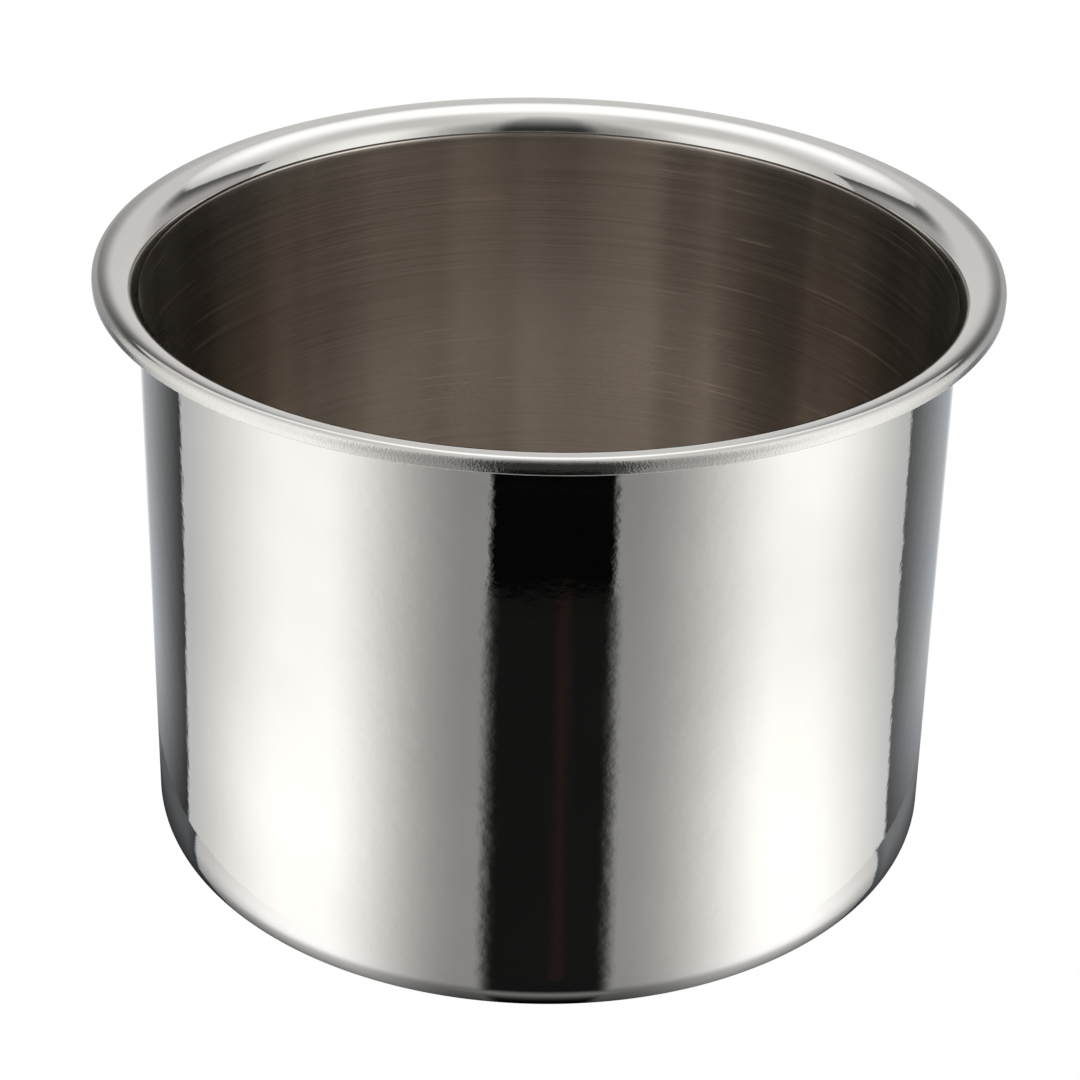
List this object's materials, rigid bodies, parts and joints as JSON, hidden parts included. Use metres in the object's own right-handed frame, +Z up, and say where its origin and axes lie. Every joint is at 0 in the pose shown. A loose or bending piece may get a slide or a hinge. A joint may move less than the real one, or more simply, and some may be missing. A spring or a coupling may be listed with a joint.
{
  "type": "soup kettle inner pot",
  "caption": "Deep-drawn stainless steel inner pot for a soup kettle: straight round wall, flat base with a rounded corner and a wide rolled rim that hangs in the kettle's opening.",
  "frame": {"origin": "centre of the underside of the base", "axes": "+Z up along the pot's axis, towards the rim"},
  "size_m": [0.29, 0.29, 0.203],
  "materials": {
    "steel": "mirror polished outside and on the rim, satin inside"
  },
  "bodies": {
    "root": {"pot": "steel"}
  },
  "joints": []
}
